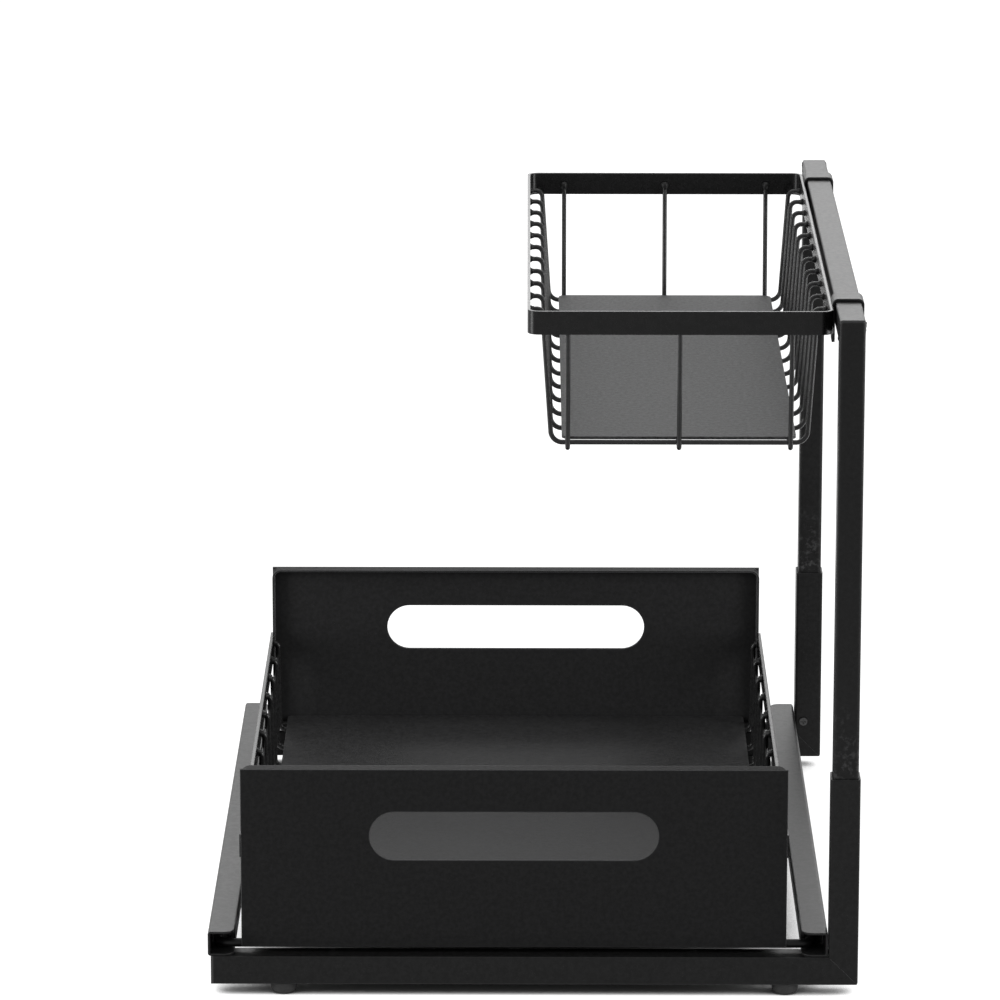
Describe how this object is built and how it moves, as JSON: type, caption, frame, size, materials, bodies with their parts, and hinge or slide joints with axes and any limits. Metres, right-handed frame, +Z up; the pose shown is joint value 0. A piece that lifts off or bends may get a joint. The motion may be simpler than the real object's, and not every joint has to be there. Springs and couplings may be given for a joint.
{
  "type": "pull out cabinet basket",
  "caption": "Two-tier cabinet organizer: wire-sided drawer with slotted end panels sliding on low rails, and a smaller wire basket hung on a plug-in side frame.",
  "frame": {"origin": "on the ground under the centre of the whole object's bounding box, drawer closed", "axes": "+X to the right, towards the side frame that carries the hanging basket; +Y to the back, so the drawer pulls out towards -Y; +Z up"},
  "size_m": [0.333, 0.425, 0.3555],
  "materials": {
    "black_steel": "satin black powder coat",
    "black_plastic": "moulded nylon, matt",
    "black_rubber": "matt",
    "screw_steel": "dull zinc",
    "dark_mat": "matt textured sheet",
    "grey_mat": "matt textured sheet"
  },
  "bodies": {
    "base": {"front_base_tube": "black_steel", "rear_base_tube": "black_steel", "front_sleeve": "black_steel", "rear_sleeve": "black_steel", "left_rail": "black_steel", "right_rail": "black_steel", "base_end_plugs": "black_plastic", "rubber_feet": "black_rubber", "rail_guides": "black_plastic", "clamp_screws": "screw_steel"},
    "drawer": {"drawer_front_panel": "black_steel", "drawer_back_panel": "black_steel", "drawer_left_band": "black_steel", "drawer_right_band": "black_steel", "drawer_cross_wires": "black_steel", "drawer_long_wires": "black_steel", "drawer_slide_frame": "black_steel", "drawer_glides": "black_plastic", "drawer_mat": "dark_mat"},
    "upright": {"front_upright": "black_steel", "rear_upright": "black_steel", "crossbar": "black_steel", "upright_end_plugs": "black_plastic"},
    "hanging_basket": {"basket_rim": "black_steel", "basket_cross_wires": "black_steel", "basket_long_wires": "black_steel", "front_hook": "black_steel", "rear_hook": "black_steel", "basket_mat": "grey_mat"}
  },
  "joints": [
    {"name": "drawer_slide", "type": "slide", "parent": "base", "child": "drawer", "axis": [0, -1, 0], "range_m": [0, 0.31]},
    {"name": "upright_lift_out", "type": "slide", "parent": "base", "child": "upright", "axis": [0, 0, 1], "range_m": [0, 0.09]},
    {"name": "basket_lift_off", "type": "slide", "parent": "upright", "child": "hanging_basket", "axis": [0, 0, 1], "range_m": [0, 0.08]}
  ]
}
